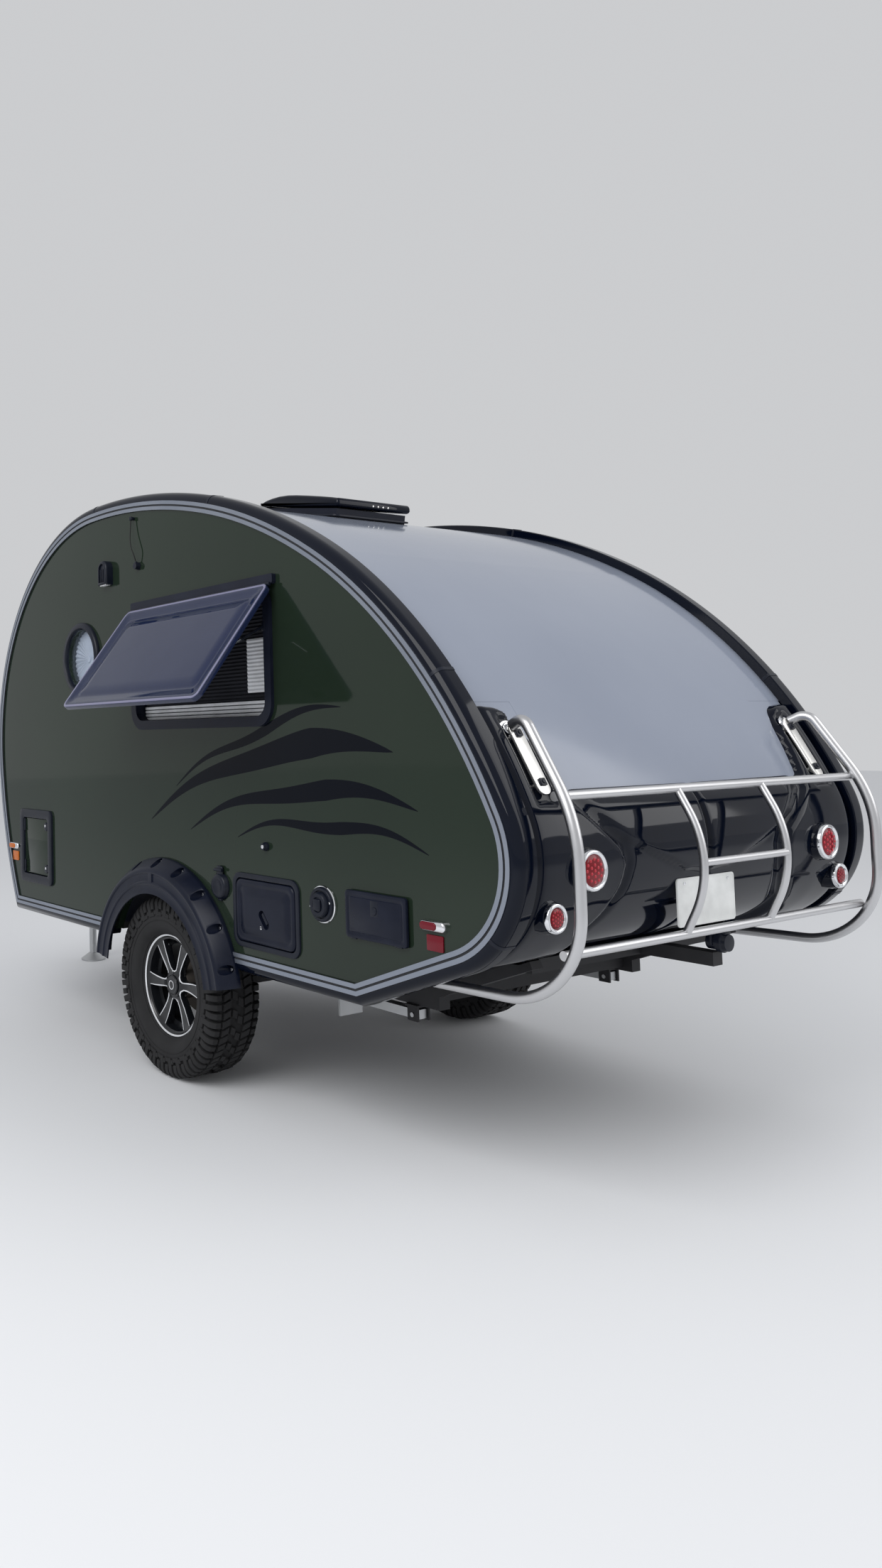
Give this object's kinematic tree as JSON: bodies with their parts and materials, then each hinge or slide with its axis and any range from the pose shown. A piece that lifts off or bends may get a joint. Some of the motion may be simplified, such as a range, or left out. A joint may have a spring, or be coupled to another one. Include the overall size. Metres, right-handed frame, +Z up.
{
  "type": "teardrop camping trailer",
  "caption": "Teardrop camping trailer: rounded two-berth cabin on a single-axle frame with tongue, side door, propped windows, service doors and a tubular rear bumper.",
  "frame": {"origin": "ground level at the middle of the whole trailer", "axes": "+X forwards to the hitch, +Y to the left, +Z up"},
  "size_m": [4.6478, 2.537, 2.4796],
  "materials": {
    "side_panel": "glossy dark olive green",
    "roof_panel": "glossy silver white",
    "gloss_black": "glossy black",
    "matte_black": "textured black",
    "trim_silver": "satin",
    "tube_silver": "satin",
    "floor_panel": "coated underside",
    "tyre": "rubber",
    "rim": "glossy black with machined edges",
    "steel_black": "satin black",
    "galvanised": "galvanised",
    "cast": "rough",
    "bottle_white": "gloss",
    "tinted_pane": "tinted acrylic",
    "blind_fabric": "pleated",
    "lamp_red": "moulded lens",
    "side_lens": "moulded lens",
    "plate_blank": "blank",
    "board": "board",
    "cushion": "woven",
    "chrome": "polished",
    "cable": "sheath"
  },
  "bodies": {
    "trailer": {"left_wall": "side_panel", "right_wall_rear": "side_panel", "right_wall_front": "side_panel", "edge_bands": "gloss_black", "trim_rails": "trim_silver", "floor": "floor_panel", "roof_shell": "roof_panel", "rear_fascia": "gloss_black", "wheel_housings": "matte_black", "wheel_flares": "matte_black", "axle_beam": "steel_black", "coupler": "galvanised", "jack_tube": "galvanised", "gas_bottle": "bottle_white", "chassis_frame": "steel_black", "battery_box": "matte_black", "window_frames": "matte_black", "window_sashes": "tinted_pane", "window_stays": "steel_black", "blinds": "blind_fabric", "porthole_ring": "gloss_black", "porthole_pane": "tinted_pane", "door_frame": "trim_silver", "service_frames": "gloss_black", "shower_box": "matte_black", "wall_fittings": "matte_black", "side_lamps": "side_lens", "porch_lamps": "gloss_black", "tail_lamps": "lamp_red", "grip_plates": "matte_black", "bumper_hoops": "tube_silver", "bumper_bars": "tube_silver", "bumper_uprights": "tube_silver", "number_plate": "plate_blank", "vent_base": "matte_black", "lamp_lead": "cable", "bed_base": "board", "bed_top": "board", "mattress": "cushion", "galley": "board"},
    "left_wheel": {"left_tyre": "tyre", "left_rim": "rim", "left_brake_drum": "cast"},
    "right_wheel": {"right_tyre": "tyre", "right_rim": "rim", "right_brake_drum": "cast"},
    "left_corner_leg": {"left_stabiliser": "galvanised"},
    "right_corner_leg": {"right_stabiliser": "galvanised"},
    "jack_foot": {"jack_leg": "galvanised"},
    "door": {"entry_door": "side_panel", "door_porthole_ring": "gloss_black", "door_porthole_pane": "tinted_pane", "door_fittings": "gloss_black"},
    "locker_door": {"storage_door": "side_panel"},
    "toilet_door": {"cassette_door": "gloss_black"},
    "shower_cover": {"shower_lid": "gloss_black"},
    "vent_cover": {"vent_hood": "gloss_black"}
  },
  "joints": [
    {"name": "left_wheel_spin", "type": "hinge", "parent": "trailer", "child": "left_wheel", "pos_m": [-0.36664, 0.815, 0.367], "axis": [0, 1, 0], "continuous": true},
    {"name": "right_wheel_spin", "type": "hinge", "parent": "trailer", "child": "right_wheel", "pos_m": [-0.36664, -0.815, 0.367], "axis": [0, 1, 0], "continuous": true},
    {"name": "left_corner_leg_fold", "type": "hinge", "parent": "trailer", "child": "left_corner_leg", "pos_m": [-1.40664, 0.52, 0.404], "axis": [0, 1, 0], "range_deg": [0, 90]},
    {"name": "right_corner_leg_fold", "type": "hinge", "parent": "trailer", "child": "right_corner_leg", "pos_m": [-1.40664, -0.52, 0.404], "axis": [0, 1, 0], "range_deg": [0, 90]},
    {"name": "jack_slide", "type": "slide", "parent": "trailer", "child": "jack_foot", "axis": [0, 0, 1], "range_m": [0, 0.3]},
    {"name": "door_swing", "type": "hinge", "parent": "trailer", "child": "door", "pos_m": [0.72936, -0.921, 1.345], "axis": [0, 0, 1], "range_deg": [0, 110]},
    {"name": "locker_door_swing", "type": "hinge", "parent": "trailer", "child": "locker_door", "pos_m": [0.99536, 0.921, 0.847], "axis": [0, 0, -1], "range_deg": [0, 100]},
    {"name": "toilet_door_lift", "type": "hinge", "parent": "trailer", "child": "toilet_door", "pos_m": [-1.04964, 0.924, 0.8645], "axis": [1, 0, 0], "range_deg": [0, 160]},
    {"name": "shower_cover_drop", "type": "hinge", "parent": "trailer", "child": "shower_cover", "pos_m": [-1.63764, 0.921, 0.724], "axis": [-1, 0, 0], "range_deg": [0, 110]},
    {"name": "vent_cover_lift", "type": "hinge", "parent": "trailer", "child": "vent_cover", "pos_m": [-0.1577, 0, 2.4612], "axis": [0, 1, 0], "range_deg": [0, 35]}
  ]
}
